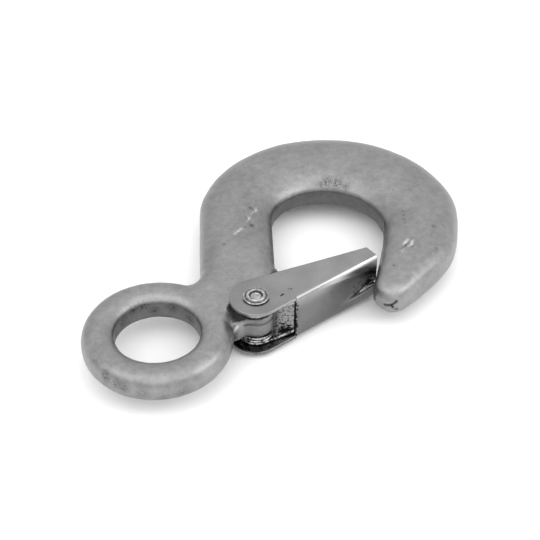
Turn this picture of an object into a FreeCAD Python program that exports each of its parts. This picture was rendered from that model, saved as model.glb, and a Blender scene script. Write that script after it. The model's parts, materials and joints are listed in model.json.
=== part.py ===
import FreeCAD, Part

# Eye hook with latch, lying flat. Millimetres.
# Origin: centre of the eye's bore, on the forging's parting plane. +X runs from the eye towards the
# bowl, +Y towards the back of the shank, +Z along the eye's bore. The point is on the -Y side.
# The forging and the latch are symmetric about Z = 0.

import math
import os

from FreeCAD import Vector

os.makedirs("parts", exist_ok=True)

# ---- driving dimensions ------------------------------------------------------------------------

# Eye: a ring, a little flattened by the dies, its bore trimmed by a punch.
EYE_MEAN_R = 19.6
EYE_HALF_WIDTH = 5.75
EYE_HALF_HEIGHT = 5.45
EYE_POWER = 2.4              # 2 is an ellipse, more is squarer
EYE_STEPS = 20               # spans of the section's curve
BORE_R = 14.35

# Plan of the hook.
BOWL_C = (79.5, 2.2)         # centre of the bowl's main inner arc
BOWL_R = 21.2
THROAT_R = 16.9              # tighter inner arc that runs into the shank
THROAT_START = 81.0          # angle about BOWL_C where the tighter arc begins
THROAT_STATIONS = (132, 124, 116, 108, 100, 92)
BOWL_STATIONS = (81, 69, 57, 45, 33, 21, 9, -3, -15, -27)
BACK_C = (84.7, 5.65)        # centre of the hook's back arc
BACK_R = 47.5
SHANK_ANGLE = 50.0           # direction of the shank
SHANK_WIDTH = 26.0

# Limb section: flat trim band on the inner edge, domed faces, rounded outer edge.
TRIM_HALF = 2.66             # half-height of the trim band
TRIM_SHARE = 0.6             # most of the half-thickness that the trim band may take
CROWN_BOWL = 8.3             # half-thickness of the bowl
CROWN_SHANK = 7.5            # half-thickness of the shank, low enough for the latch to swing over it
CROWN_AT = 0.5               # place of the crown, as a share of the limb's width
SECTION_STEPS = 5            # points between the crown and each edge
JOINING = 0.001              # tolerance when the limb, eye and lug are joined

# Squareness of the section: 2 is an ellipse, more is squarer.
NECK_POWER = 2.8
SHANK_POWER = 2.5
BOWL_POWER = 2.1

# Concave corner between the eye and the shank's back.
CORNER_C = (25.7, 16.3)
CORNER_R = 5.2

# Stations of the neck: inner edge, angle of the outer edge about the corner, half-thickness.
NECK = [
    ((22.5, -19.5), -140, 5.6),
    ((26.0, -20.5), -118, 5.9),
    ((30.5, -20.5), -97, 6.3),
    ((36.0, -17.5), -80, 6.6),
    ((41.5, -12.5), -65, 6.8),
    ((46.0, -7.8), -52, 7.0),
]
SHANK = [                    # distance before the throat, half-thickness
    (27.5, 7.1), (23, 7.3), (18, CROWN_SHANK), (13, CROWN_SHANK), (7, 7.6), (1, 7.8),
]
POINT = [                    # inner edge, outer edge, half-thickness, squareness
    ((95.9, -11.3), (113.0, -31.7), 8.2, 2.2),
    ((90.4, -16.3), (101.5, -39.2), 8.0, 2.4),
    ((84.5, -21.0), (91.5, -41.6), 7.6, 2.7),
    ((78.2, -25.7), (83.0, -42.5), 7.0, 2.9),
    ((73.2, -29.3), (76.3, -43.1), 6.3, 3.0),
    ((69.5, -32.0), (71.0, -42.6), 5.3, 3.0),
    ((67.9, -34.8), (68.4, -39.8), 3.5, 2.8),
]

# Latch pivot, and the lug that carries it: round at the pivot, with a shoulder that stops the latch.
PIVOT = (31.5, -14.0)
LUG_R = 6.35
LUG_HALF = 4.05
STOP_CORNER = (50.8, -4.6)
LUG_ROOT = [(50.6, -1.0), (42.0, 2.0), (20.0, -6.0), (20.0, -14.5), (27.0, -17.0)]
POCKET_R = 8.6               # hollow round the pivot, for the spring's coils
POCKET_EDGE = [
    (17.0, -14.0), (21.3, -9.9), (25.3, -7.9), (34.5, -6.0), (41.6, -5.6), (51.5, -1.6), (60.0, 0.0),
]
POCKET_LOW = -30.0           # the pocket is open below the limb

# Latch: a channel of thin sheet.
SHEET = 1.2
LATCH_HALF = 9.2             # outer half-width over the cheeks
EAR_R = 9.0
TIP_U = 46.0                 # pivot to the cheeks' tips, measured along the web
WEB_U = 10.2                 # pivot to the web's near end
WEB_ANGLE = -4.6             # direction of the web
CHEEK_TIP_DEPTH = 6.0        # depth of the cheeks at the tip
FOLD_R = 1.6                 # outer radius of the folds
LIP = 2.0                    # how far the dish's floor reaches past the cheeks
DISH_LENGTH = 24.0           # dished stretch of the web, up to the lip
DISH_DEPTH = 2.2
DISH_HALF_START = 7.2        # half-width of the dish where it begins
DISH_HALF_END = 4.4

# Rivet: round shaft, plain head below, rolled end above.
RIVET_R = 2.5
RUNNING_GAP = 0.05           # radial clearance of the shaft in the lug
HEAD_R = 4.35
HEAD_EDGE = 0.5              # height of the head's rim, and of the washer-like foot of the rolled end
HEAD_HEIGHT = 1.5
HEAD_FLAT_R = 2.6
ROLL_R = 3.0                 # crest of the rolled end
ROLL_FLAT = 0.5
ROLL_FOOT = 0.7
ROLL_RISE = 1.15
HOLLOW_R = 2.1
HOLLOW_FLOOR = 0.05          # floor of the hollow, above the cheek
HOLLOW_TAPER = 0.2

# Spring: one coil set on each side of the lug, joined by a bridge behind the web.
WIRE_R = 0.52
COIL_R = 5.5
COIL_Z = 4.72                # centre of the wire at the turn nearest the lug
COIL_PITCH = 1.06
COIL_WHOLE_TURNS = 2
BODY_LEG = 17.0              # straight leg that rests on the shank
BODY_LEG_ANGLE = 12.0
WEB_LEG = 10.2               # straight leg that rests on the web
WEB_LEG_ANGLE = -13.0
BRIDGE_BEND_R = 2.0


# ---- plan geometry -----------------------------------------------------------------------------

def polar(centre, radius, degrees):
    a = math.radians(degrees)
    return (centre[0] + radius * math.cos(a), centre[1] + radius * math.sin(a))


def ray_to_circle(start, degrees, centre, radius):
    """Far crossing of a ray from start with a circle."""
    dx, dy = polar((0, 0), 1, degrees)
    fx, fy = start[0] - centre[0], start[1] - centre[1]
    b = fx * dx + fy * dy
    reach = -b + math.sqrt(b * b - (fx * fx + fy * fy - radius * radius))
    return polar(start, reach, degrees)


def tangent_point(centre, radius, point, side):
    """Where the tangent from point touches the circle; side +1 is counter-clockwise of the point."""
    distance = math.hypot(point[0] - centre[0], point[1] - centre[1])
    bearing = math.degrees(math.atan2(point[1] - centre[1], point[0] - centre[0]))
    return polar(centre, radius, bearing + side * math.degrees(math.acos(radius / distance)))


# ---- solids ------------------------------------------------------------------------------------

def prism(points, z_low, z_high):
    wire = Part.makePolygon([Vector(x, y, z_low) for x, y in points + points[:1]])
    return Part.Face(wire).extrude(Vector(0, 0, z_high - z_low))


def disc(centre, radius, z_low, z_high):
    return Part.makeCylinder(radius, z_high - z_low, Vector(centre[0], centre[1], z_low))


def export(name, shape):
    shape.exportStep("parts/%s.step" % name)
    print(name, "valid", shape.isValid(), "solids", len(shape.Solids), "volume", round(shape.Volume, 1))


# ---- hook body ---------------------------------------------------------------------------------

def limb_section(inner, outer, crown, squareness):
    """Closed section standing on the plan line inner-outer: trim band, domed faces, round outer edge."""
    width = math.hypot(outer[0] - inner[0], outer[1] - inner[1])
    ux, uy = (outer[0] - inner[0]) / width, (outer[1] - inner[1]) / width
    power = 2 / squareness
    middle = CROWN_AT * width
    first = math.asin((min(TRIM_HALF, TRIM_SHARE * crown) / crown) ** (1 / power))
    inner_axis = middle / math.cos(first) ** power
    upper = []
    for i in range(SECTION_STEPS):
        t = first + (math.pi / 2 - first) * i / SECTION_STEPS
        upper.append((middle - inner_axis * math.cos(t) ** power, crown * math.sin(t) ** power))
    for i in range(SECTION_STEPS, 0, -1):
        t = math.pi / 2 * i / SECTION_STEPS
        upper.append((middle + (width - middle) * abs(math.cos(t)) ** power, crown * math.sin(t) ** power))
    profile = upper + [(width, 0.0)] + [(s, -z) for s, z in reversed(upper)]
    points = [Vector(inner[0] + s * ux, inner[1] + s * uy, z) for s, z in profile]
    curve = Part.BSplineCurve()
    curve.interpolate(Points=points, Parameters=[i / (len(points) - 1) for i in range(len(points))])
    return Part.Wire([curve.toShape(), Part.makeLine(points[-1], points[0])])


def limb():
    throat_c = polar(BOWL_C, BOWL_R - THROAT_R, THROAT_START)
    across = SHANK_ANGLE + 90
    wall_end = polar(throat_c, THROAT_R, across)

    def back(start, angle):
        """Outer edge on the ray: the back arc, or the shank's straight back where that is nearer."""
        arc = ray_to_circle(start, angle, BACK_C, BACK_R)
        to_line = (THROAT_R + SHANK_WIDTH) / math.cos(math.radians(angle - across))
        if start == throat_c and to_line < math.dist(start, arc):
            return polar(start, to_line, angle)
        return arc

    neck = []
    for inner, angle, crown in NECK:
        neck.append((inner, polar(CORNER_C, CORNER_R, angle), crown, NECK_POWER))
    shank = []
    for distance, crown in SHANK:
        inner = polar(wall_end, -distance, SHANK_ANGLE)
        shank.append((inner, polar(inner, SHANK_WIDTH, across), crown, SHANK_POWER))
    bowl = []
    for a in THROAT_STATIONS:
        share = (a - THROAT_START) / (across - THROAT_START)
        squareness = BOWL_POWER + share * (SHANK_POWER - BOWL_POWER)
        crown = CROWN_BOWL + share * (SHANK[-1][1] - CROWN_BOWL)
        bowl.append((polar(throat_c, THROAT_R, a), back(throat_c, a), crown, squareness))
    for a in BOWL_STATIONS:
        bowl.append((polar(BOWL_C, BOWL_R, a), back(BOWL_C, a), CROWN_BOWL, BOWL_POWER))
    sections = [limb_section(*station) for station in neck + shank + bowl + POINT]
    return Part.makeLoft(sections, True, False)


def eye():
    edge = math.acos(((EYE_MEAN_R - BORE_R) / EYE_HALF_WIDTH) ** (EYE_POWER / 2))
    points = []
    for i in range(EYE_STEPS + 1):
        a = (math.pi - edge) * (1 - 2 * i / EYE_STEPS)
        out = math.copysign(abs(math.cos(a)) ** (2 / EYE_POWER), math.cos(a))
        up = math.copysign(abs(math.sin(a)) ** (2 / EYE_POWER), math.sin(a))
        points.append(Vector(EYE_MEAN_R + EYE_HALF_WIDTH * out, 0, EYE_HALF_HEIGHT * up))
    curve = Part.BSplineCurve()
    curve.interpolate(Points=points)
    section = Part.Face(Part.Wire([curve.toShape(), Part.makeLine(points[-1], points[0])]))
    return section.revolve(Vector(0, 0, 0), Vector(0, 0, 1), 360)


def lug():
    """Flat tongue that the latch straddles."""
    touch = tangent_point(PIVOT, LUG_R, STOP_CORNER, -1)
    tongue = prism([touch, STOP_CORNER] + LUG_ROOT + [PIVOT], -LUG_HALF, LUG_HALF)
    return disc(PIVOT, LUG_R, -LUG_HALF, LUG_HALF).fuse(tongue)


def pocket():
    """Space cleared from the limb round the pivot, open towards the throat and the eye."""
    depth = 2 * CROWN_BOWL
    floor = [(POCKET_EDGE[-1][0], POCKET_LOW), (POCKET_EDGE[0][0], POCKET_LOW)]
    return disc(PIVOT, POCKET_R, -depth, depth).fuse(prism(POCKET_EDGE + floor, -depth, depth))


def hook_body():
    body = limb().cut(pocket()).fuse([eye(), lug()], JOINING)
    return body.cut(disc(PIVOT, RIVET_R + RUNNING_GAP, -CROWN_BOWL, CROWN_BOWL))


# ---- latch -------------------------------------------------------------------------------------
# The latch is drawn in its own plan frame: origin at the pivot, +U along the web towards the tip, +W
# from the web towards the pivot side. place() turns it into the part's frame.

def place(shape):
    shape.rotate(Vector(0, 0, 0), Vector(0, 0, 1), WEB_ANGLE)
    shape.translate(Vector(PIVOT[0], PIVOT[1], 0))
    return shape


def wedge(w_start, w_end):
    """Tapered solid along the dish, between the (low, high) levels of w_start and of w_end. One that
    starts below the web is the hollow, so it is narrower by the sheet on each side."""
    end_u = TIP_U + LIP
    start = (end_u - DISH_LENGTH, w_start, DISH_HALF_START)
    ends = []
    for u, (low, high), half in (start, (end_u, w_end, DISH_HALF_END)):
        if low < -EAR_R:
            half -= SHEET
        corners = [Vector(u, low, -half), Vector(u, high, -half), Vector(u, high, half), Vector(u, low, half)]
        ends.append(Part.makePolygon(corners + corners[:1]))
    return Part.makeLoft(ends, True, True)


def folded_block(u_low, u_high, w_low, half, radius):
    """Block above w_low whose two long lower edges are rounded, like the outside of a folded channel."""
    block = Part.makeBox(u_high - u_low, 3 * EAR_R, 2 * half, Vector(u_low, w_low, -half))
    edges = []
    for edge in block.Edges:
        box = edge.BoundBox
        if box.XLength > 0.5 * (u_high - u_low) and box.YMax < w_low + 0.1:
            edges.append(edge)
    return block.makeFillet(radius, edges)


def latch():
    cheek_far = (TIP_U, CHEEK_TIP_DEPTH - EAR_R)
    touch = tangent_point((0, 0), EAR_R, cheek_far, 1)
    outline = prism([(0, -EAR_R), (TIP_U, -EAR_R), cheek_far, touch, (0, 0)], -LATCH_HALF, LATCH_HALF)
    outline = outline.fuse(disc((0, 0), EAR_R, -LATCH_HALF, LATCH_HALF)).removeSplitter()
    inner_half = LATCH_HALF - SHEET
    reach = WEB_U + EAR_R
    ears = Part.makeBox(reach, 2 * EAR_R, 2 * LATCH_HALF, Vector(-EAR_R, -EAR_R, -LATCH_HALF))
    ears = ears.cut(Part.makeBox(reach, 2 * EAR_R, 2 * inner_half, Vector(-EAR_R, -EAR_R, -inner_half)))
    channel = folded_block(WEB_U, TIP_U, -EAR_R, LATCH_HALF, FOLD_R)
    channel = channel.cut(folded_block(WEB_U - 1, TIP_U + 1, SHEET - EAR_R, inner_half, FOLD_R - SHEET))
    shape = outline.common(ears.fuse(channel))

    outside, inside = -EAR_R, SHEET - EAR_R
    floor = wedge((outside, inside), (outside + DISH_DEPTH, inside + DISH_DEPTH))
    walls = wedge((outside, inside), (outside, inside + DISH_DEPTH)).common(outline)
    hollow = wedge((outside - 1, outside), (outside - 1, outside + DISH_DEPTH))
    shape = shape.fuse([floor, walls]).cut(hollow)
    shape = shape.cut(disc((0, 0), RIVET_R, -2 * LATCH_HALF, 2 * LATCH_HALF))
    return place(shape.removeSplitter())


# ---- rivet -------------------------------------------------------------------------------------

def rivet():
    top = LATCH_HALF
    profile = [
        (0, -top - HEAD_HEIGHT), (HEAD_FLAT_R, -top - HEAD_HEIGHT), (HEAD_R, -top - HEAD_EDGE),
        (HEAD_R, -top), (RIVET_R, -top), (RIVET_R, top), (HEAD_R, top), (HEAD_R, top + HEAD_EDGE),
        (ROLL_R + ROLL_FLAT, top + ROLL_FOOT), (ROLL_R, top + ROLL_RISE),
        (ROLL_R - ROLL_FLAT, top + ROLL_RISE), (HOLLOW_R, top + ROLL_FOOT),
        (HOLLOW_R - HOLLOW_TAPER, top + HOLLOW_FLOOR), (0, top + HOLLOW_FLOOR),
    ]
    wire = Part.makePolygon([Vector(r, 0, z) for r, z in profile + profile[:1]])
    shape = Part.Face(wire).revolve(Vector(0, 0, 0), Vector(0, 0, 1), 360)
    shape.translate(Vector(PIVOT[0], PIVOT[1], 0))
    return shape


# ---- spring ------------------------------------------------------------------------------------

def spring_half_path():
    """Centre line of the upper half: leg on the shank, coil, leg on the web, half of the bridge."""
    start_bearing = BODY_LEG_ANGLE + 90
    end_bearing = WEB_LEG_ANGLE + 270 + 360 * COIL_WHOLE_TURNS
    turn = end_bearing - start_bearing
    rise = COIL_PITCH * turn / 360
    coil_start = Vector(*polar(PIVOT, COIL_R, start_bearing), COIL_Z)
    coil_end = Vector(*polar(PIVOT, COIL_R, end_bearing), COIL_Z + rise)
    helix = Part.makeHelix(COIL_PITCH, rise, COIL_R)
    helix.rotate(Vector(0, 0, 0), Vector(0, 0, 1), start_bearing)
    helix.translate(Vector(PIVOT[0], PIVOT[1], COIL_Z))
    body_leg = Vector(*polar((0, 0), 1, BODY_LEG_ANGLE), 0)
    web_leg = Vector(*polar((0, 0), 1, WEB_LEG_ANGLE), 0)
    down = Vector(0, 0, -1)
    bend_start = coil_end + web_leg * WEB_LEG
    bend_end = bend_start + (web_leg + down) * BRIDGE_BEND_R
    bend_middle = bend_start + web_leg * BRIDGE_BEND_R * math.sin(math.pi / 4)
    bend_middle += down * BRIDGE_BEND_R * (1 - math.cos(math.pi / 4))
    return [
        Part.makeLine(coil_start + body_leg * BODY_LEG, coil_start),
        helix.Edges[0],
        Part.makeLine(coil_end, bend_start),
        Part.Arc(bend_start, bend_middle, bend_end).toShape(),
        Part.makeLine(bend_end, Vector(bend_end.x, bend_end.y, 0)),
    ]


def spring():
    edges = spring_half_path()
    wire = Part.Wire(edges)
    start = edges[0].Vertexes[0].Point
    toward = Vector(*polar((0, 0), 1, BODY_LEG_ANGLE), 0)
    profile = Part.Wire([Part.makeCircle(WIRE_R, start, toward)])
    half = wire.makePipeShell([profile], True, False)
    other = half.mirror(Vector(0, 0, 0), Vector(0, 0, 1))
    return half.fuse(other).removeSplitter()


export("hook_body", hook_body())
export("latch", latch())
export("pivot_rivet", rivet())
export("latch_spring", spring())
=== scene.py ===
import json
import math

import bpy
import numpy as np
from mathutils import Matrix, Vector, noise


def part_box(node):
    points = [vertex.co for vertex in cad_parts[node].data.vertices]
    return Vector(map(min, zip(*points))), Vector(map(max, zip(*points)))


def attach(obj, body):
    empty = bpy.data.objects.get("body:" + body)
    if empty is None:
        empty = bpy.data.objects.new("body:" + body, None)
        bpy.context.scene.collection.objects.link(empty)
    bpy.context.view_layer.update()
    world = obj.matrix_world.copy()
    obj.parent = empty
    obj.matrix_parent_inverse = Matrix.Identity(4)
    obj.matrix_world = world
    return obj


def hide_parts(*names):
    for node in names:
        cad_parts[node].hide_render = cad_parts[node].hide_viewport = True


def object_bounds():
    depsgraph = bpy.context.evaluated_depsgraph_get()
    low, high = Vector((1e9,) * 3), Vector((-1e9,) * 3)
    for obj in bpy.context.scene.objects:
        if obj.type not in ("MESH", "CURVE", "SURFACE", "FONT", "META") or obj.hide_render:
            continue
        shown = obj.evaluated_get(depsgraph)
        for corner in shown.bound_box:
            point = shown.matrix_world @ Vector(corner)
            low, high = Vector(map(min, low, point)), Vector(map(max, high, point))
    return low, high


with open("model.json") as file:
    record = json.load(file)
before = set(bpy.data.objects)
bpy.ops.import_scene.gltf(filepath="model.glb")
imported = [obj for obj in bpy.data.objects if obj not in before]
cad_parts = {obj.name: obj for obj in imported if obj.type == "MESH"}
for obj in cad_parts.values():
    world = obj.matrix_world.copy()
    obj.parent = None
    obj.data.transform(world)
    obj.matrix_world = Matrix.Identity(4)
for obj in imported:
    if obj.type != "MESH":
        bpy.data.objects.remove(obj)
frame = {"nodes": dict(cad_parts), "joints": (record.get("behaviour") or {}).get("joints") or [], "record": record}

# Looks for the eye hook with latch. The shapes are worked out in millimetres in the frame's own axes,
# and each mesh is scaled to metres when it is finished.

CAD_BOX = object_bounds()
TO_MM = 1000.0
TO_M = 0.001

HINGE = [TO_MM * c for c in frame["joints"][0]["pos_m"]]
EYE_R = frame["record"]["mounts"][0]["dims"]["r_mm"]
WEB_ANGLE = math.radians(-4.6)         # direction of the latch's web
SHEET_HALF = TO_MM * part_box("latch")[1].z

# ---- camera, light and floor -------------------------------------------------------------------

CAMERA_TURN = math.radians(-42.4)
CAMERA_RISE = math.radians(41.0)
CAMERA_DISTANCE = 0.5078
CAMERA_AIM = Vector((0.05125, 0.00066, 0.0))
CAMERA_LENS = 96.67
# Lights: name, turn and rise in degrees, distance, size, watts.
LIGHTS = [
    ("overhead", 5, 66, 0.75, 1.1, 3.5),
    ("side", 78, 36, 0.80, 0.45, 1.6),
    ("left", -70, 48, 0.80, 0.45, 0.7),
    ("back", 185, 60, 0.80, 0.80, 0.5),
]
SKY_STRENGTH = 0.92
FLOOR_HALF = 3.0
FLOOR_GAP = 0.0001                      # between the floor and the object's lowest point


def facing(turn, rise):
    """Unit vector from the object towards an azimuth and an elevation."""
    return Vector((math.sin(turn) * math.cos(rise), -math.cos(turn) * math.cos(rise), math.sin(rise)))


def add_object(name, data):
    obj = bpy.data.objects.new(name, data)
    bpy.context.scene.collection.objects.link(obj)
    return obj


def look_at(obj, place, aim):
    obj.matrix_world = Matrix.Translation(place) @ (aim - place).to_track_quat("-Z", "Y").to_matrix().to_4x4()


def make_camera():
    data = bpy.data.cameras.new("camera")
    data.lens = CAMERA_LENS
    data.clip_start = 0.01
    camera = add_object("camera", data)
    look_at(camera, CAMERA_AIM + CAMERA_DISTANCE * facing(CAMERA_TURN, CAMERA_RISE), CAMERA_AIM)
    bpy.context.scene.camera = camera


def make_light(name, turn, rise, distance, size, watts):
    """Square light aimed at the object, its turn counted from the camera's."""
    data = bpy.data.lights.new(name, "AREA")
    data.shape = "SQUARE"
    data.size = size
    data.energy = watts
    light = add_object(name, data)
    away = facing(CAMERA_TURN + math.radians(turn), math.radians(rise))
    look_at(light, CAMERA_AIM + distance * away, CAMERA_AIM)


def make_studio():
    world = bpy.data.worlds.new("studio")
    world.use_nodes = True
    background = world.node_tree.nodes["Background"]
    background.inputs["Color"].default_value = (1.0, 1.0, 1.0, 1.0)
    background.inputs["Strength"].default_value = SKY_STRENGTH
    bpy.context.scene.world = world
    bpy.context.scene.view_settings.view_transform = "Standard"
    for light in LIGHTS:
        make_light(*light)


def make_floor():
    low = CAD_BOX[0].z - FLOOR_GAP
    mesh = bpy.data.meshes.new("floor")
    signs = [(-1, -1), (1, -1), (1, 1), (-1, 1)]
    corners = [(i * FLOOR_HALF, j * FLOOR_HALF, low) for i, j in signs]
    mesh.from_pydata(corners, [], [(0, 1, 2, 3)])
    floor = add_object("floor", mesh)
    paper = bpy.data.materials.new("white_paper")
    paper.use_nodes = True
    shader = paper.node_tree.nodes["Principled BSDF"]
    shader.inputs["Base Color"].default_value = (0.96, 0.96, 0.96, 1.0)
    shader.inputs["Roughness"].default_value = 0.9
    mesh.materials.append(paper)


# ---- mesh tools --------------------------------------------------------------------------------

def smoothstep(low, high, x):
    t = np.clip((x - low) / (high - low), 0.0, 1.0)
    return t * t * (3 - 2 * t)


def read_points(mesh):
    points = np.empty(3 * len(mesh.vertices), np.float32)
    mesh.vertices.foreach_get("co", points)
    return points.reshape(-1, 3).astype(float)


def write_points(mesh, points):
    mesh.vertices.foreach_set("co", points.astype(np.float32).ravel())
    mesh.update()


def read_normals(mesh):
    normals = np.empty(3 * len(mesh.vertices), np.float32)
    mesh.vertex_normals.foreach_get("vector", normals)
    return normals.reshape(-1, 3).astype(float)


def read_edges(mesh):
    edges = np.empty(2 * len(mesh.edges), np.int32)
    mesh.edges.foreach_get("vertices", edges)
    return edges.reshape(-1, 2)


def active_edges(mesh, share):
    """Edges of the vertices whose share is above 0."""
    edges = read_edges(mesh)
    return edges[np.any(share[edges] > 0, axis=1)]


def neighbour_mean(values, edges):
    """Mean of each vertex's neighbours, for one or more values per vertex."""
    flat = values.reshape(len(values), -1)
    degree = np.bincount(edges.ravel(), minlength=len(flat))
    total = np.empty_like(flat)
    for i in range(flat.shape[1]):
        total[:, i] = np.bincount(edges[:, 0], flat[edges[:, 1], i], len(flat))
        total[:, i] += np.bincount(edges[:, 1], flat[edges[:, 0], i], len(flat))
    return (total / np.maximum(degree, 1)[:, None]).reshape(values.shape)


def relax(mesh, share, rounds):
    """Smooths and swells by turns, so that edges soften and the size stays."""
    points, edges = read_points(mesh), read_edges(mesh)
    weight = np.broadcast_to(share, len(points))[:, None]
    for _ in range(rounds):
        for push in (0.5, -0.52):
            points += push * weight * (neighbour_mean(points, edges) - points)
    write_points(mesh, points)


def soften(mesh, share, rounds):
    """Rounds edges and corners alike, where share is above 0."""
    points, edges = read_points(mesh), active_edges(mesh, share)
    weight = 0.5 * share[:, None]
    for _ in range(rounds):
        points += weight * (neighbour_mean(points, edges) - points)
    write_points(mesh, points)


def fill_corners(mesh, share, rounds):
    """Rounds the inside corners only: a vertex moves where its neighbours lie outside the surface."""
    points, edges = read_points(mesh), active_edges(mesh, share)
    weight = share[:, None]
    renew = 8
    for i in range(rounds):
        if i % renew == 0:
            write_points(mesh, points)
            normals = read_normals(mesh)
        move = neighbour_mean(points, edges) - points
        outward = np.sum(move * normals, axis=1, keepdims=True)
        points += 0.6 * weight * np.maximum(outward, 0.0) * normals
        points += 0.3 * weight * (move - outward * normals)
    write_points(mesh, points)


def displace(mesh, heights):
    write_points(mesh, read_points(mesh) + heights[:, None] * read_normals(mesh))


def attribute(mesh, name, values):
    layer = mesh.attributes.new(name, "FLOAT", "POINT")
    layer.data.foreach_set("value", values.astype(np.float32))


def noise_at(points, period, offset):
    """Smooth noise from about -1 to 1, with features of the given period."""
    shift = Vector((offset, 0.37 * offset, -1.3 * offset))
    return np.array([noise.noise(Vector(p) / period + shift) for p in points])


def remeshed(node, name, voxel, turn=0.0):
    """Copy of a CAD node as an even mesh in millimetres, turned about the hinge's axis while it is made."""
    mesh = frame["nodes"][node].data.copy()
    mesh.transform(Matrix.Scale(TO_MM, 4))
    mesh.transform(Matrix.Rotation(-turn, 4, "Z") @ Matrix.Translation((-HINGE[0], -HINGE[1], 0)))
    mesh.materials.clear()
    obj = add_object(name, mesh)
    modifier = obj.modifiers.new("remesh", "REMESH")
    modifier.mode = "VOXEL"
    modifier.voxel_size = voxel
    depsgraph = bpy.context.evaluated_depsgraph_get()
    even = bpy.data.meshes.new_from_object(obj.evaluated_get(depsgraph))
    obj.modifiers.clear()
    obj.data = even
    even.transform(Matrix.Translation((HINGE[0], HINGE[1], 0)) @ Matrix.Rotation(turn, 4, "Z"))
    return obj


def finish_piece(obj, body, nodes, material):
    obj.data.transform(Matrix.Scale(TO_M, 4))
    obj.data.polygons.foreach_set("use_smooth", [True] * len(obj.data.polygons))
    obj.data.materials.append(material)
    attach(obj, body)
    if nodes:
        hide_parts(*nodes)


# ---- materials ---------------------------------------------------------------------------------

class Shader:
    def __init__(self, name):
        self.material = bpy.data.materials.new(name)
        self.material.use_nodes = True
        self.tree = self.material.node_tree
        self.main = self.tree.nodes["Principled BSDF"]
        self.place = self.add("ShaderNodeTexCoord").outputs["Object"]

    def add(self, kind, inputs=None, **settings):
        made = self.tree.nodes.new(kind)
        for key, value in settings.items():
            setattr(made, key, value)
        self.set(made, inputs or {})
        return made

    def set(self, made, inputs):
        for key, value in inputs.items():
            if isinstance(value, bpy.types.NodeSocket):
                self.tree.links.new(value, made.inputs[key])
            else:
                made.inputs[key].default_value = value

    def noise(self, period, detail=3.0, rough=0.5, stretch=None):
        """Noise with features of the given period in millimetres."""
        place = self.place
        if stretch:
            place = self.add("ShaderNodeMapping", {"Vector": place, "Scale": stretch}).outputs["Vector"]
        inputs = {"Vector": place, "Scale": TO_MM / period, "Detail": detail, "Roughness": rough}
        return self.add("ShaderNodeTexNoise", inputs).outputs["Fac"]

    def math(self, operation, a, b=0.0):
        return self.add("ShaderNodeMath", {0: a, 1: b}, operation=operation).outputs[0]

    def ramp(self, value, low, high, to_low=0.0, to_high=1.0):
        inputs = {"Value": value, "From Min": low, "From Max": high, "To Min": to_low, "To Max": to_high}
        return self.add("ShaderNodeMapRange", inputs).outputs["Result"]

    def attribute(self, name):
        return self.add("ShaderNodeAttribute", attribute_name=name).outputs["Fac"]

    def grey(self, value):
        inputs = {"Red": value, "Green": value, "Blue": value}
        return self.add("ShaderNodeCombineColor", inputs).outputs["Color"]

    def bump(self, height, distance, strength=1.0, normal=None):
        inputs = {"Height": height, "Distance": distance * TO_M, "Strength": strength}
        if normal:
            inputs["Normal"] = normal
        return self.add("ShaderNodeBump", inputs).outputs["Normal"]

    def finish(self, inputs):
        self.set(self.main, inputs)
        return self.material


def forged_steel():
    s = Shader("forged_steel")
    cloud = s.noise(13.0, 4.0, 0.6)
    mottle = s.noise(2.4, 5.0, 0.65)
    grain = s.noise(0.35, 2.0)
    tone = s.math("ADD", s.ramp(cloud, 0.3, 0.7, 0.25, 0.315), s.ramp(mottle, 0.3, 0.7, -0.04, 0.04))
    tone = s.math("ADD", tone, s.ramp(grain, 0.3, 0.7, -0.025, 0.025))

    pit = s.math("MULTIPLY", s.ramp(s.noise(0.9, 2.0), 0.66, 0.74), s.ramp(s.noise(9.0, 2.0), 0.5, 0.62))
    blotch = s.ramp(s.noise(0.6, 5.0, 0.8), 0.42, 0.60)
    stain_and_shade = s.math("MULTIPLY", s.attribute("stain_and_shade"), blotch)
    trim = s.attribute("trim")
    bare_and_highlight = s.math("MULTIPLY", s.attribute("bare_and_highlight"), s.ramp(s.noise(0.7, 5.0, 0.75), 0.30, 0.52))
    tone = s.math("MULTIPLY", tone, s.ramp(pit, 0.0, 1.0, 1.0, 0.45))
    # stains, and painted shadow along the lug's root
    tone = s.math("MULTIPLY", tone, s.ramp(stain_and_shade, 0.0, 1.0, 1.0, 0.2))
    # painted shade in the concave creases
    tone = s.math("MULTIPLY", tone, s.ramp(s.attribute("crevice_shade"), 0.0, 1.0, 1.0, 0.5))
    # dirt, cracks and the parting line, and painted shade on the lug's front, beside the latch's stop and along
    # the bands' rims
    tone = s.math("MULTIPLY", tone, s.ramp(s.attribute("grime_and_shade"), 0.0, 1.0, 1.0, 0.08))
    tone = s.math("MULTIPLY", tone, s.ramp(trim, 0.0, 1.0, 1.0, 0.55))
    # bare metal, and a painted highlight at the lug's root
    tone = s.math("ADD", tone, s.ramp(bare_and_highlight, 0.0, 1.0, 0.0, 0.42))
    rough = s.math("ADD", s.ramp(mottle, 0.3, 0.7, 0.38, 0.48), s.ramp(trim, 0.0, 1.0, 0.0, 0.08))

    normal = s.bump(mottle, 0.22, 0.5)
    normal = s.bump(grain, 0.025, 0.5, normal)
    normal = s.bump(s.math("SUBTRACT", 1.0, pit), 0.06, 0.8, normal)
    return s.finish({"Base Color": s.grey(tone), "Metallic": 1.0, "Roughness": rough, "Normal": normal})


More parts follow.
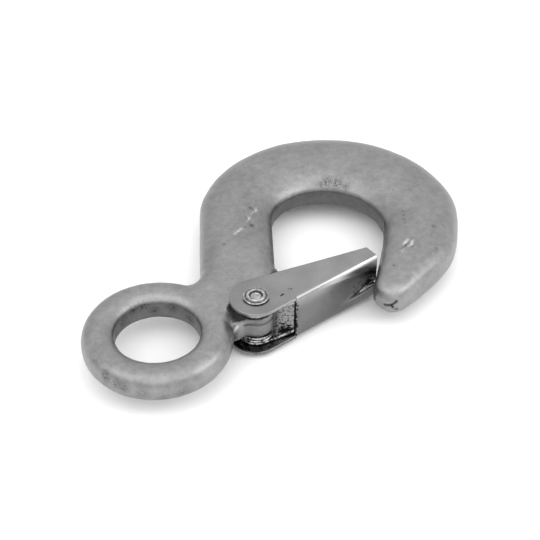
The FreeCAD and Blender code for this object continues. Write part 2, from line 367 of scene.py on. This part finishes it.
def latch_steel():
    s = Shader("latch_steel")
    cloud = s.noise(9.0, 3.0, 0.5)
    grain = s.noise(0.3, 2.0)
    tone = s.math("ADD", s.ramp(cloud, 0.3, 0.7, 0.27, 0.33), s.ramp(grain, 0.3, 0.7, -0.015, 0.015))
    # on the latch these are black specks of dirt only
    stain_and_shade = s.attribute("stain_and_shade")
    cover = s.math("ADD", s.noise(1.0, 5.0, 0.7), s.ramp(stain_and_shade, 0.0, 2.0, 0.0, 0.25))
    stain_and_shade = s.math("MULTIPLY", s.ramp(cover, 0.60, 0.65), s.ramp(stain_and_shade, 0.0, 0.3))
    # painted highlight on the strip between the fold and the dish and on a patch at the tip
    tone = s.math("ADD", tone, s.ramp(s.attribute("painted_highlight"), 0.0, 1.0, 0.0, 0.3))
    # painted shade on the web, the lower ear, the upper cheek and round the rivet
    tone = s.math("MULTIPLY", tone, s.ramp(s.attribute("shade"), 0.0, 1.0, 1.0, 0.2))
    tone = s.math("MULTIPLY", tone, s.ramp(stain_and_shade, 0.0, 1.0, 1.0, 0.04))
    rough = s.math("ADD", s.ramp(cloud, 0.3, 0.7, 0.25, 0.31), s.ramp(stain_and_shade, 0.0, 1.0, 0.0, 0.3))
    normal = s.bump(grain, 0.006, 0.5)
    normal = s.bump(s.noise(1.5, 2.0), 0.03, 0.4, normal)
    return s.finish({"Base Color": s.grey(tone), "Metallic": 1.0, "Roughness": rough, "Normal": normal})


def rivet_steel():
    s = Shader("rivet_steel")
    cloud = s.noise(1.6, 4.0, 0.6)
    tone = s.ramp(cloud, 0.35, 0.65, 0.26, 0.60)
    # painted shade in the rolled end's groove and hollow
    tone = s.math("MULTIPLY", tone, s.ramp(s.attribute("stain_and_shade"), 0.0, 1.0, 1.0, 0.1))
    normal = s.bump(s.noise(0.5, 3.0), 0.05, 0.5)
    rough = s.ramp(cloud, 0.3, 0.7, 0.2, 0.34)
    return s.finish({"Base Color": s.grey(tone), "Metallic": 1.0, "Roughness": rough, "Normal": normal})


def spring_wire():
    s = Shader("spring_wire")
    cloud = s.noise(2.0, 3.0, 0.6)
    # dark patches at random along the wire
    grime_and_shade = s.ramp(s.noise(1.3, 4.0, 0.65), 0.47, 0.53)
    tone = s.math("MULTIPLY", s.ramp(cloud, 0.3, 0.7, 0.34, 0.5), s.ramp(grime_and_shade, 0.0, 1.0, 1.0, 0.15))
    normal = s.bump(s.noise(0.25, 2.0, stretch=(1.0, 1.0, 4.0)), 0.01, 0.5)
    rough = s.ramp(cloud, 0.3, 0.7, 0.22, 0.36)
    return s.finish({"Base Color": s.grey(tone), "Metallic": 1.0, "Roughness": rough, "Normal": normal})


# ---- forging -----------------------------------------------------------------------------------

BODY_VOXEL = 0.45
NECK = (23.0, 0.0, 13.0)                # centre and reach of the crease between eye and neck
LUG_ROOT = (23.0, -12.5, 9.0)           # and of the hollow between the neck and the lug
STOP = (49.0, -3.5)                     # shoulder that stops the latch
STOP_ROOT = (45.0, -4.0, 9.0)
WIRE_LANDING = (44.2, -10.7)            # where the spring's bridge comes to the lug with the latch open
LUG_FRONT = (29.0, -19.0)               # the lug's side that faces away from the shank
PARTING_Z = 1.8
NOSE = (80.0, -34.0)

EYE = (0.0, 0.0)
EYE_OUTER = 25.0                        # outer radius of the eye
BOWL = (79.5, 2.2)                      # centre of the bowl's inner edge
THROAT = (56.0, -16.0)                  # the inner edge faces the line from BOWL to here
INNER_REACH = 25.0                      # and lies within this of it,
SHANK_START = 46.0                      # beyond this in x
BAND_HALF = 3.2                         # half-height of the punched bands
FACE = 7.0                              # height of marks on the upper face
CROWN = 7.5                             # and of those where it is a little higher


def around(centre, radius, marks):
    """Places round an upright line, from each mark's bearing in degrees and its height."""
    made = []
    for degrees, z in marks:
        a = math.radians(degrees)
        made.append((centre[0] + radius * math.cos(a), centre[1] + radius * math.sin(a), z))
    return made


def row(start, end, count):
    """Evenly spaced places from start to end."""
    return [Vector(start).lerp(Vector(end), i / (count - 1)) for i in range(count)]


# Dents in the upper face: place, half-length and half-width, direction, depth.
DENTS = [
    ((63.0, 22.0, FACE), (3.0, 0.9), 35.0, 0.75),
    ((58.5, 20.0, FACE), (1.8, 0.9), 70.0, 0.55),
    ((63.5, 24.5, FACE), (1.3, 0.9), 0.0, 0.35),
    ((57.5, 17.0, FACE), (1.4, 0.9), 60.0, 0.40),
    ((51.0, 17.0, CROWN), (1.8, 0.4), 10.0, 0.35),
    ((89.5, -27.5, CROWN), (3.4, 0.8), 16.0, 0.70),
    ((91.0, -29.5, CROWN), (1.6, 0.6), 30.0, 0.50),
]
# Short lines, each through its places. Bare metal is bright, and the line at the lug's root is a painted
# highlight; cracks are black and sunken.
BARE_AND_HIGHLIGHT = [
    [(57.5, 19.5, FACE), (59.5, 20.5, FACE)],
    [(61.0, 21.5, FACE), (63.5, 22.0, FACE), (65.0, 23.0, FACE)],
    [(62.5, 22.0, FACE), (64.0, 22.5, FACE)],
    [(49.5, 17.0, CROWN), (53.0, 17.5, CROWN)],
    [(86.0, -29.0, CROWN), (88.0, -28.5, CROWN), (89.5, -27.0, CROWN), (92.0, -26.5, CROWN)],
    [(89.0, -29.0, CROWN), (91.0, -29.0, CROWN), (92.5, -28.0, CROWN)],
    # painted highlight on the fillet at the lug's root
    [(20.0, -16.0, 1.0), (22.5, -15.0, 3.0)],
]
CRACKS = [
    [(68.5, -38.5, -0.5), (68.5, -40.0, 0.0), (69.5, -41.5, 1.0), (70.5, -42.0, 2.0)],
    [(69.0, -41.0, 0.5), (69.5, -41.5, -0.5)],
    [(70.5, -42.0, -1.5), (70.5, -42.5, -1.5)],
]
# Groups of soft spots: places, reach, strength. First dark specks: in the dents, single ones, a painted
# shadow beside the latch's stop, a dark line down the lug's root, and a row on the bowl's way to the point.
GRIME_AND_SHADOW = [
    ([(63.5, 24.5, FACE), (57.5, 17.0, FACE)], 0.8, 0.6),
    ([(43.0, 15.5, CROWN), (79.0, -32.0, FACE), (104.0, -27.5, 8.0)], 0.5, 0.6),
    ([(96.5, -36.0, 6.5)], 0.8, 0.4),
    ([(79.0, -42.5, 4.0)], 0.4, 0.5),
    # painted shadow beside the latch's stop
    ([(48.5, -4.5, 4.0)], 1.3, 0.8),
    (row((19.5, -15.5, 3.0), (20.5, -16.0, -2.0), 3), 0.9, 0.7),
    (row((102.5, -14.0, CROWN), (96.5, -21.0, CROWN), 5), 0.4, 0.6),
]
# Then wear: on the bowl's inner slope, round the eye's outside, in its bore, and alone; along the lug's
# root they are painted shadow under the latch's ear.
STAINS_AND_SHADOW = [
    (around(BOWL, 23.0, [(50, 4.5), (27, 4.5)]), 1.6, 1.0),
    (around(BOWL, 23.5, [(44, 5.5), (36, 5.0)]), 2.2, 1.3),
    (around(EYE, EYE_OUTER, [(190, 2.5), (200, 1.5), (205, 1.0)]), 2.0, 1.1),
    (around(EYE, EYE_OUTER, [(220, -0.5), (235, -2.0), (250, -1.0)]), 2.3, 0.85),
    (around(EYE, 23.5, [(175, 4.0)]), 2.0, 0.5),
    (around(EYE, 20.5, [(80, 5.0)]), 1.4, 0.5),
    (around(EYE, EYE_R, [(125, 0.0), (105, 0.5), (0, 0.0), (-25, 0.0)]), 2.5, 1.0),
    (around(EYE, EYE_R, [(85, 2.5), (70, 2.5), (55, 0.0), (30, 1.5)]), 1.9, 1.1),
    # painted shadow under the latch's ear, along the lug's root
    (row((23.5, -10.5, 5.0), (20.5, -14.5, 4.0), 3), 2.1, 0.9),
    ([(21.0, -15.5, 0.0)], 2.2, 0.8),
    ([(36.5, 14.5, 6.0), (21.0, -8.5, 5.5)], 2.0, 0.4),
    ([(104.0, -27.5, 8.0)], 1.2, 0.6),
]


def near(points, place, reach):
    """1 at the place, falling to nearly 0 at twice the reach."""
    return np.exp(-np.sum((points - np.array(place)) ** 2, axis=1) / (reach * reach))


def dent_heights(points):
    heights = np.zeros(len(points))
    for place, (along, across), degrees, depth in DENTS:
        a = math.radians(degrees)
        offset = points - np.array(place)
        s = offset[:, 0] * math.cos(a) + offset[:, 1] * math.sin(a)
        t = -offset[:, 0] * math.sin(a) + offset[:, 1] * math.cos(a)
        ragged = 0.3 * noise_at(points, 1.4, 5.0)
        height = offset[:, 2] / 3.0
        fall = np.exp(-(s / along) ** 2 - (t / across + ragged) ** 2 - height ** 2)
        rim = np.exp(-(s / along) ** 2 - (t / across + 1.6 + ragged) ** 2 - height ** 2)
        heights += 0.35 * depth * rim - depth * fall
    return heights


def trim_band(points, normals):
    """The punched bands (the eye's bore, the inner edge of bowl, shank and point), and painted shade along their
    rims.
    """
    radius = np.hypot(points[:, 0], points[:, 1])
    z = points[:, 2]
    start, end = np.array(BOWL), np.array(THROAT)
    run = end - start
    t = np.clip((points[:, :2] - start) @ run / (run @ run), 0.0, 1.0)
    inward = start + t[:, None] * run - points[:, :2]
    distance = np.hypot(inward[:, 0], inward[:, 1])
    facing_in = np.sum(inward * normals[:, :2], axis=1) / np.maximum(distance, 1e-6)
    inner_edge = (distance < INNER_REACH) * (points[:, 0] > SHANK_START)
    bore = 1 - smoothstep(EYE_R + 0.15, EYE_R + 0.6, radius)
    band = np.maximum(0.7 * bore, smoothstep(0.80, 0.95, facing_in) * inner_edge) * (np.abs(z) < BAND_HALF)
    near_rim = np.maximum(1 - smoothstep(EYE_R + 0.5, EYE_R + 1.1, radius), (facing_in > 0.55) * inner_edge)
    # painted shade: a dark line below each band and a fainter one above it
    rim = np.exp(-((z + BAND_HALF + 0.2) / 0.6) ** 2) + 0.5 * np.exp(-((z - BAND_HALF - 0.1) / 0.35) ** 2)
    return band, rim * near_rim


def spots(points, groups):
    """Strongest of several soft spots at each vertex."""
    values = np.zeros(len(points))
    for places, reach, strength in groups:
        for place in places:
            values = np.maximum(values, strength * near(points, place, reach))
    return values


def lines(points, routes, reach):
    """1 on the lines through each route's places, falling away from them."""
    nearest = np.full(len(points), 1e6)
    for route in routes:
        for a, b in zip(route, route[1:]):
            start, run = np.array(a), np.array(b) - np.array(a)
            t = np.clip((points - start) @ run / (run @ run), 0.0, 1.0)
            nearest = np.minimum(nearest, np.sum((points - start - t[:, None] * run) ** 2, axis=1))
    return np.exp(-nearest / reach ** 2)


def disc_share(points, place, inner, outer):
    """1 within inner of an upright line, 0 beyond outer."""
    return 1 - smoothstep(inner, outer, np.hypot(points[:, 0] - place[0], points[:, 1] - place[1]))


def shape_lug(mesh):
    """Rounds the lug's rims and fills the hollow between it and the neck, clear of the spring."""
    points = read_points(mesh)
    hole = np.hypot(points[:, 0] - HINGE[0], points[:, 1] - HINGE[1])
    in_lug = np.minimum(disc_share(points, HINGE, 8.0, 9.0) + disc_share(points, STOP, 4.0, 6.0), 1.0)
    soften(mesh, in_lug * (np.abs(points[:, 2]) < 4.6) * smoothstep(3.4, 4.2, hole), 26)
    points = read_points(mesh)
    share = np.zeros(len(points))
    for x, y, reach in (LUG_ROOT, STOP_ROOT):
        share = np.maximum(share, disc_share(points, (x, y), 0.6 * reach, reach))
    share *= smoothstep(6.4, 7.6, hole)
    fill_corners(mesh, share, 240)


def make_forging():
    obj = remeshed("hook_body", "hook_forging", BODY_VOXEL)
    mesh = obj.data
    points = read_points(mesh)
    fill_corners(mesh, disc_share(points, NECK, 0.6 * NECK[2], NECK[2]) * (points[:, 0] < 32.0), 120)
    shape_lug(mesh)
    points = read_points(mesh)
    soften(mesh, disc_share(points, NOSE, 14.0, 24.0) * (np.abs(points[:, 2]) > 2.0), 70)
    relax(mesh, 1.0, 4)

    points = read_points(mesh)
    hole = np.hypot(points[:, 0] - HINGE[0], points[:, 1] - HINGE[1])
    swell = 0.16 * noise_at(points, 17.0, 1.0) + 0.07 * noise_at(points, 6.0, 2.0)
    swell += 0.03 * noise_at(points, 2.4, 3.0)
    in_front = (hole > 5.0) * disc_share(points, LUG_FRONT, 5.0, 6.5)
    wavy = PARTING_Z + 0.25 * noise_at(points, 4.0, 7.0)
    parting = in_front * np.exp(-((points[:, 2] - wavy) / 0.45) ** 2)
    cracks = lines(points, CRACKS, 0.42 + 0.1 * noise_at(points, 1.5, 4.0))
    relief = 0.35 * disc_share(points, WIRE_LANDING, 1.2, 2.6)
    sunk = dent_heights(points) - 0.3 * parting - 0.3 * cracks - relief
    displace(mesh, smoothstep(6.4, 8.0, hole) * swell + sunk)
    mark_forging(mesh, cracks, parting, in_front)
    finish_piece(obj, "hook", ["hook_body"], forged_steel())


def mark_forging(mesh, cracks, parting, in_front):
    """Tells the forging's material where its bands, wear, bare metal and dirt are, and where light and shade are
    painted:
    painted shade in the concave creases, on the lug's front, beside the latch's stop, along the bands' rims and
    under the ear along the lug's root, and a painted highlight at the lug's root.
    """
    points, normals, edges = read_points(mesh), read_normals(mesh), read_edges(mesh)
    # painted shade: darker where the surface is concave, in creases and hollows
    curve = np.sum((neighbour_mean(points, edges) - points) * normals, axis=1)
    for _ in range(4):
        curve = neighbour_mean(curve, edges)
    attribute(mesh, "crevice_shade", smoothstep(0.004, 0.03, curve))
    trim, rim = trim_band(points, normals)
    attribute(mesh, "trim", 0.5 * (trim + neighbour_mean(trim, edges)))
    attribute(mesh, "stain_and_shade", spots(points, STAINS_AND_SHADOW))
    attribute(mesh, "bare_and_highlight", 0.8 * lines(points, BARE_AND_HIGHLIGHT, 0.5 + 0.2 * noise_at(points, 1.3, 2.0)))
    # painted shadow on the lug's front
    shadow = 0.30 * in_front * (np.abs(points[:, 2]) < 4.0)
    # the bands' rims carry painted shade
    dark = [spots(points, GRIME_AND_SHADOW), np.minimum(1.6 * cracks, 1.0), 0.85 * parting, shadow, 0.7 * rim]
    attribute(mesh, "grime_and_shade", np.maximum.reduce(dark))


# ---- latch -------------------------------------------------------------------------------------

# The latch is worked out in its own axes: u along the web from the hinge, w across it, z up.

LATCH_VOXEL = 0.22
WEB_ROOT = -4.0                         # the web and the corners that lead to it lie below this in w
WEB_FACE = -6.5                         # and the flat of the web below this
CHEEK_TOP = 8.8                         # the upper cheek's outer face lies above this in z
DISH_HALF = 7.3                         # half-height of the dish
DISH_NARROWS = 22.0                     # from this u on, towards the tip,
DISH_TAPER = 0.125                      # by this much for each millimetre
SPECKS = ((7.6, -4.6), (11.5, -4.0))    # on the upper cheek, in u and w


def latch_axes(points):
    x, y = points[:, 0] - HINGE[0], points[:, 1] - HINGE[1]
    u = x * math.cos(WEB_ANGLE) + y * math.sin(WEB_ANGLE)
    w = -x * math.sin(WEB_ANGLE) + y * math.cos(WEB_ANGLE)
    return u, w, points[:, 2]


def dish_edge(u):
    return DISH_HALF - DISH_TAPER * np.maximum(u - DISH_NARROWS, 0.0)


def lower_inside(w, z):
    """The lower cheek's inner face."""
    return ((np.abs(z) < SHEET_HALF - 0.8) & (w > -7.9)) * (z < 0)


def shape_dish(mesh, u, w, z):
    edge = dish_edge(u)
    dish = smoothstep(17.0, 26.0, u) * (w < WEB_ROOT)
    in_edge = 1 - smoothstep(edge + 0.6, edge + 1.6, np.abs(z))
    soften(mesh, dish * (1 - smoothstep(43.0, 45.0, u)) * in_edge, 30)
    low_half = (1 - smoothstep(-1.0, 1.5, z)) * (z > -8.6)
    soften(mesh, dish * (1 - smoothstep(26.0, 43.0, u)) * low_half, 120)


def latch_stain(u, w, z):
    """Black specks: the web's near end, its tip, the lower cheek's inner face and the upper cheek."""
    near_end = 1.2 * np.exp(-((u - 10.3) / 0.7) ** 2) * (w < WEB_FACE) * (z < 8.2)
    tip = 0.6 * np.exp(-((u - 42.6) / 1.7) ** 2 - ((z - 2.0) / 1.7) ** 2) * (w < WEB_ROOT)
    near_web = np.exp(-((u - 9.0) / 2.6) ** 2 - ((w - WEB_FACE) / 4.0) ** 2)
    inside = lower_inside(w, z) * (0.5 + 2.0 * near_web)
    stain_and_shade = np.maximum.reduce([near_end, tip, inside])
    for speck_u, speck_w in SPECKS:
        speck = np.exp(-((u - speck_u) / 0.8) ** 2 - ((w - speck_w) / 0.5) ** 2)
        stain_and_shade = np.maximum(stain_and_shade, 1.3 * speck * (z > CHEEK_TOP))
    return stain_and_shade


def latch_shade(u, w, z):
    """Painted shade: the web darker, in the dish below its edge and less so near the tip; a dark crease along
    the dish's edge; the inside of the lower ear; the upper cheek, more towards the ear; and a ring under the
    rivet.
    """
    edge = dish_edge(u)
    below = 1 - smoothstep(edge - 0.4, edge + 0.6, z)
    in_dish = smoothstep(20.0, 34.0, u)
    web_shade = (1 - in_dish) * (1 - smoothstep(3.0, 8.4, z)) + in_dish * below
    web_shade *= 0.52 + 0.10 * smoothstep(14.0, 30.0, u) - 0.55 * smoothstep(32.0, 41.0, u)
    crease = 0.5 * np.exp(-((z - edge + 0.5) / 0.5) ** 2) * smoothstep(20.0, 27.0, u)
    ear = 0.85 * lower_inside(w, z) * (1 - smoothstep(-1.0, 9.0, u))
    cheek = 0.10 + 0.14 * (1 - smoothstep(0.0, 16.0, u))
    under_rivet = np.exp(-((np.hypot(u, w) - 4.5) / 0.6) ** 2) * smoothstep(0.0, 3.0, -w - 0.7 * u)
    above = (z > CHEEK_TOP) * np.maximum(cheek, under_rivet)
    shade = np.maximum.reduce([(w < WEB_FACE) * web_shade, (w < WEB_ROOT) * crease, ear, above])
    return np.minimum(shade, 1.0)


def latch_highlight(u, w, z):
    """Painted highlight: the bright strip between the fold and the dish, and a bright patch at the tip."""
    strip = (w < WEB_FACE) * (z > dish_edge(u)) * (z < CHEEK_TOP + 0.1) * smoothstep(18.0, 30.0, u)
    patch = 0.35 * np.exp(-((u - 42.5) / 1.5) ** 2 - ((z + 2.0) / 1.6) ** 2) * (w < WEB_ROOT)
    return np.maximum(strip * (0.8 + 1.4 * smoothstep(30.0, 42.0, u)), patch)


def make_latch():
    obj = remeshed("latch", "latch_sheet", LATCH_VOXEL, WEB_ANGLE)
    mesh = obj.data
    relax(mesh, 1.0, 6)
    u, w, z = latch_axes(read_points(mesh))
    shape_dish(mesh, u, w, z)
    attribute(mesh, "painted_highlight", neighbour_mean(latch_highlight(u, w, z), read_edges(mesh)))
    attribute(mesh, "stain_and_shade", latch_stain(u, w, z))
    attribute(mesh, "shade", latch_shade(u, w, z))
    finish_piece(obj, "latch_gate", ["latch"], latch_steel())


# ---- rivet -------------------------------------------------------------------------------------

RIVET_R = 2.5
HEAD_RIM = 0.25                         # roundness of the heads' rims


def arc(centre, radius, start, end, steps):
    """Points (r, z) along an arc, angles in degrees."""
    made = []
    for i in range(steps + 1):
        a = math.radians(start + (end - start) * i / steps)
        made.append((centre[0] + radius * math.cos(a), centre[1] + radius * math.sin(a)))
    return made


def rivet_profile(low_z, high_z, head_r):
    """Outline (r, z) from the middle of the plain head below to the middle of the rolled end."""
    top = SHEET_HALF
    profile = [(0.0, low_z), (1.4, low_z)]
    profile += arc((1.6, low_z + 2.2), 2.2, -90, -40, 6)
    profile += arc((head_r - HEAD_RIM, -top - 0.35), HEAD_RIM, -60, 20, 4)
    profile += [(head_r - 0.05, -top), (RIVET_R, -top), (RIVET_R, 0.0), (RIVET_R, top)]
    profile += [(head_r - 0.1, top)]
    profile += arc((head_r - HEAD_RIM, top + 0.3), HEAD_RIM, -20, 80, 5)
    profile += arc((3.75, top + 0.95), 0.45, 250, 200, 4)
    profile += arc((2.72, high_z - 0.55), 0.55, 0, 180, 12)
    profile += arc((1.3, top + 0.75), 0.8, -20, -90, 6)
    profile += [(0.6, top), (0.0, top + 0.02)]
    return profile


def spun(name, profile, turns=96):
    """Closed solid of revolution, from an outline that starts and ends on the axis."""
    points = [(0.0, 0.0, profile[0][1])]
    rings = profile[1:-1]
    for r, z in rings:
        for i in range(turns):
            a = 2 * math.pi * i / turns
            points.append((r * math.cos(a), r * math.sin(a), z))
    points.append((0.0, 0.0, profile[-1][1]))
    faces = [(0, 1 + (i + 1) % turns, 1 + i) for i in range(turns)]
    for j in range(len(rings) - 1):
        a, b = 1 + j * turns, 1 + (j + 1) * turns
        for i in range(turns):
            k = (i + 1) % turns
            faces.append((a + i, a + k, b + k, b + i))
    last, end = 1 + (len(rings) - 1) * turns, len(points) - 1
    faces += [(last + i, last + (i + 1) % turns, end) for i in range(turns)]
    mesh = bpy.data.meshes.new(name)
    mesh.from_pydata(points, [], faces)
    mesh.update()
    return mesh


def make_rivet():
    low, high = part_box("pivot_rivet")
    head_r = TO_MM * (high.x - low.x) / 2
    mesh = spun("rivet_body", rivet_profile(TO_MM * low.z, TO_MM * high.z, head_r))
    points = read_points(mesh)
    radius = np.hypot(points[:, 0], points[:, 1])
    above = points[:, 2] > SHEET_HALF + 0.1
    bearing = np.arctan2(points[:, 1], points[:, 0])
    split = 0.08 * np.sin(3 * bearing + 0.6) * above * smoothstep(1.6, 2.6, radius)
    rough = 0.16 * noise_at(points, 0.7, 9.0) * above * (1 - smoothstep(1.8, 2.3, radius))
    points[:, 2] += np.minimum(split, 0.0) + rough
    write_points(mesh, points)
    # painted shade in the groove between the foot and the rolled end, and on the wall of its hollow
    groove = np.exp(-((radius - 3.6) / 0.28) ** 2) + np.exp(-((radius - 1.95) / 0.36) ** 2)
    attribute(mesh, "stain_and_shade", above * np.minimum(groove, 1.0))
    mesh.transform(Matrix.Translation((HINGE[0], HINGE[1], 0.0)))
    obj = add_object("rivet_body", mesh)
    finish_piece(obj, "latch_gate", ["pivot_rivet"], rivet_steel())


# ---- spring ------------------------------------------------------------------------------------

WIRE_R = 0.52
WIRE_STEP = 0.01                        # the coils are this much thinner, and so end inside the bridge
COIL_R = 5.5
COIL_Z = 4.72
COIL_PITCH = 1.06
BODY_LEG, BODY_LEG_ANGLE = 17.0, 12.0
WEB_LEG, WEB_LEG_ANGLE = 10.2, -13.5
BRIDGE_BEND_R = 2.0
FLAT_TURN = 70.0                        # last stretch of the coil, which both halves of the spring share
COIL_STEP = 7.5
BODY_LEG_STEPS, WEB_LEG_STEPS, BEND_STEPS = 8, 6, 8


def on_coil(bearing, z):
    a = math.radians(bearing)
    return Vector((HINGE[0] + COIL_R * math.cos(a), HINGE[1] + COIL_R * math.sin(a), z))


def along(degrees):
    return Vector((math.cos(math.radians(degrees)), math.sin(math.radians(degrees)), 0.0))


def tube(name, path, radius, sides=16):
    """Closed round wire along a list of points."""
    points, faces = [], []
    side = None
    for i, p in enumerate(path):
        ahead = (path[min(i + 1, len(path) - 1)] - path[max(i - 1, 0)]).normalized()
        if side is None:
            side = ahead.orthogonal().normalized()
        side = (side - ahead * side.dot(ahead)).normalized()
        up = ahead.cross(side)
        for k in range(sides):
            a = 2 * math.pi * k / sides
            points.append(p + radius * (math.cos(a) * side + math.sin(a) * up))
    for i in range(len(path) - 1):
        for k in range(sides):
            a, b = i * sides + k, i * sides + (k + 1) % sides
            faces.append((a, b, b + sides, a + sides))
    faces.append(tuple(range(sides - 1, -1, -1)))
    faces.append(tuple(range((len(path) - 1) * sides, len(path) * sides)))
    mesh = bpy.data.meshes.new(name)
    mesh.from_pydata([tuple(p) for p in points], [], faces)
    mesh.update()
    return mesh


def make_spring():
    start = BODY_LEG_ANGLE + 90
    end = WEB_LEG_ANGLE + 270 + 720
    outer_z = COIL_Z + COIL_PITCH * (end - start) / 360
    flat_from = end - FLAT_TURN

    def coil_path(low, high):
        count = int((high - low) / COIL_STEP)
        made = []
        for i in range(count + 1):
            bearing = low + (high - low) * i / count
            share = min((bearing - start) / (flat_from - start), 1.0)
            made.append(on_coil(bearing, COIL_Z + (outer_z - COIL_Z) * share))
        return made

    material = spring_wire()
    leg_end = on_coil(start, COIL_Z) + BODY_LEG * along(BODY_LEG_ANGLE)
    leg = [leg_end.lerp(on_coil(start, COIL_Z), t / BODY_LEG_STEPS) for t in range(BODY_LEG_STEPS)]
    body_side = leg + coil_path(start, end)
    for name, sign in (("spring_coil_upper", 1), ("spring_coil_lower", -1)):
        path = [Vector((p.x, p.y, sign * p.z)) for p in body_side]
        obj = add_object(name, tube(name, path, WIRE_R - WIRE_STEP))
        finish_piece(obj, "hook", ["latch_spring"], material)

    web_side = coil_path(flat_from, end)
    bend_from = web_side[-1] + WEB_LEG * along(WEB_LEG_ANGLE)
    web_side += [web_side[-1].lerp(bend_from, (t + 1) / WEB_LEG_STEPS) for t in range(WEB_LEG_STEPS)]
    for i in range(BEND_STEPS):
        a = math.radians(90 * (i + 1) / BEND_STEPS)
        drop = Vector((0, 0, BRIDGE_BEND_R * (math.cos(a) - 1)))
        web_side.append(bend_from + BRIDGE_BEND_R * math.sin(a) * along(WEB_LEG_ANGLE) + drop)
    web_side += [Vector((p.x, p.y, -p.z)) for p in reversed(web_side)]
    obj = add_object("spring_bridge", tube("spring_bridge", web_side, WIRE_R))
    finish_piece(obj, "latch_gate", [], material)


make_camera()
make_studio()
make_floor()
make_forging()
make_latch()
make_rivet()
make_spring()
